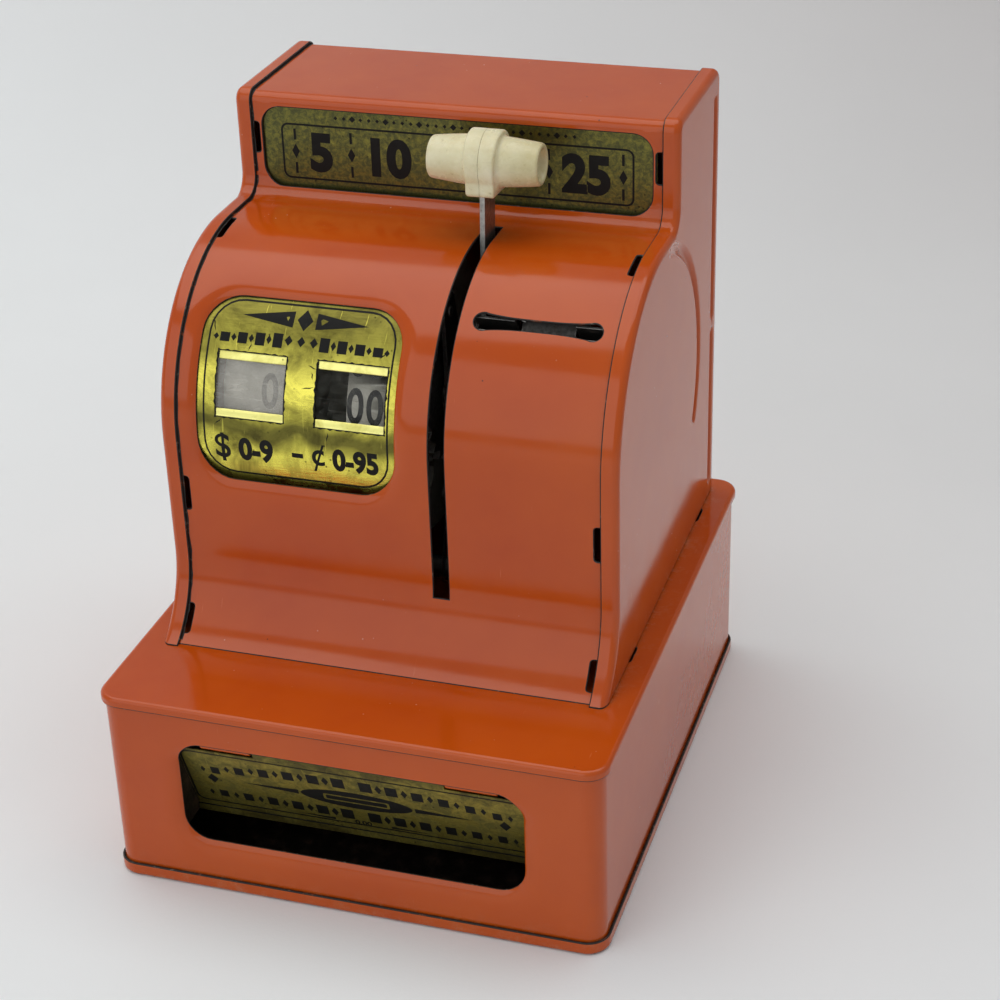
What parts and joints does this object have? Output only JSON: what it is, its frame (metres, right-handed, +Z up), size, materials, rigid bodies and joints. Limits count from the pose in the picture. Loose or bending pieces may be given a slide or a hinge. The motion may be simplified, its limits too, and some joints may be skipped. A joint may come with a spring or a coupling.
{
  "type": "coin register bank",
  "caption": "Toy cash-register coin bank in pressed steel: side lever turns number wheels that show the total, coin slot in the round front, and a push-in door in the base.",
  "frame": {"origin": "middle of the footprint, on the table under the base", "axes": "+Z up, front faces -Y, +X to the bank's right as seen from its front"},
  "size_m": [0.1158, 0.1328, 0.1575],
  "materials": {
    "enamel": "gloss enamel",
    "brass": "lacquered, tarnished",
    "steel": "bare rolled sheet",
    "spring_steel": "drawn wire",
    "bell": "dull plated",
    "ivory": "moulded, satin",
    "film": "clear film",
    "wheel": "satin white print"
  },
  "bodies": {
    "housing": {"bottom_pan": "enamel", "base_wall": "enamel", "base_deck": "enamel", "door_cheeks": "steel", "door_hinge_pin": "steel", "left_side_panel": "enamel", "right_side_panel": "enamel", "front_wrapper": "enamel", "back_panel": "enamel", "header_plate": "brass", "counter_plate": "brass", "dollars_window": "film", "cents_window": "film", "left_frame": "steel", "center_frame": "steel", "frame_spacers": "steel", "frame_screws": "steel", "main_shaft": "steel", "transfer_bracket": "steel", "transfer_pin": "steel", "latch_pin": "steel", "detent_pin": "steel", "detent_spring": "spring_steel", "bell_gong": "bell", "gong_post": "steel", "gong_screw": "steel", "hammer_pin": "steel", "hammer_spring": "spring_steel", "chute_floor": "steel", "chute_cover": "steel", "chute_rivets": "steel", "gauge_pin": "steel", "gauge_spring": "spring_steel"},
    "door": {"coin_door": "brass"},
    "latch": {"latch_arm": "steel"},
    "lever": {"lever_arm": "steel", "lever_hub": "steel", "pawl_carrier": "steel", "drive_pawl_pin": "steel", "drive_pawl_spring": "spring_steel", "lever_spring": "spring_steel", "handle_left_half": "ivory", "handle_right_half": "ivory", "handle_rivet": "steel"},
    "pawl": {"drive_pawl": "steel"},
    "detent": {"detent_pawl": "steel"},
    "cents": {"cents_wheel": "wheel", "ratchet_wheel": "steel"},
    "pinion": {"transfer_pinion": "brass"},
    "dollars": {"dollars_wheel": "wheel", "latch_disc": "steel"},
    "hammer": {"bell_hammer": "steel", "hammer_head": "steel"},
    "gauge": {"coin_gauge": "steel"}
  },
  "joints": [
    {"name": "door_swing", "type": "hinge", "parent": "housing", "child": "door", "pos_m": [0, -0.0634, 0.0386], "axis": [1, 0, 0], "range_deg": [0, 40]},
    {"name": "latch_lift", "type": "hinge", "parent": "housing", "child": "latch", "pos_m": [-0.042, -0.019, 0.056], "axis": [1, 0, 0], "range_deg": [-4.8, 0]},
    {"name": "lever_pull", "type": "hinge", "parent": "housing", "child": "lever", "pos_m": [0.0118, 0.006, 0.095], "axis": [1, 0, 0], "range_deg": [0, 122], "stiffness_Nm_per_rad": 0.03, "springref_deg": -28.65, "deforming": ["lever_spring"]},
    {"name": "drive_pawl_lift", "type": "hinge", "parent": "lever", "child": "pawl", "pos_m": [0.0016, 0.00218, 0.11667], "axis": [1, 0, 0], "range_deg": [-12, 0], "stiffness_Nm_per_rad": 0.0004, "springref_deg": 34.38, "deforming": ["drive_pawl_spring"]},
    {"name": "detent_lift", "type": "hinge", "parent": "housing", "child": "detent", "pos_m": [0.0016, 0.00509, 0.06902], "axis": [1, 0, 0], "range_deg": [-10, 0], "stiffness_Nm_per_rad": 0.0006, "springref_deg": 34.38, "deforming": ["detent_spring"]},
    {"name": "cents_spin", "type": "hinge", "parent": "housing", "child": "cents", "pos_m": [-0.0054, 0.006, 0.095], "axis": [1, 0, 0], "continuous": true},
    {"name": "pinion_spin", "type": "hinge", "parent": "housing", "child": "pinion", "pos_m": [-0.018, 0.006, 0.081], "axis": [1, 0, 0], "continuous": true},
    {"name": "dollars_spin", "type": "hinge", "parent": "housing", "child": "dollars", "pos_m": [-0.0315, 0.006, 0.095], "axis": [1, 0, 0], "continuous": true},
    {"name": "hammer_swing", "type": "hinge", "parent": "housing", "child": "hammer", "pos_m": [0.0118, 0.02, 0.062], "axis": [1, 0, 0], "range_deg": [-3, 12], "stiffness_Nm_per_rad": 0.0008, "deforming": ["hammer_spring"]},
    {"name": "gauge_swing", "type": "hinge", "parent": "housing", "child": "gauge", "pos_m": [0.032, -0.01094, 0.12387], "axis": [1, 0, 0], "range_deg": [0, 55], "stiffness_Nm_per_rad": 0.0003, "springref_deg": -28.65, "deforming": ["gauge_spring"]}
  ],
  "couplings": [
    {"joint": "latch_lift", "follows": "door_swing", "ratio": -0.115},
    {"joint": "pinion_spin", "follows": "cents_spin", "ratio": -0.25},
    {"joint": "dollars_spin", "follows": "cents_spin", "ratio": 0.1}
  ]
}
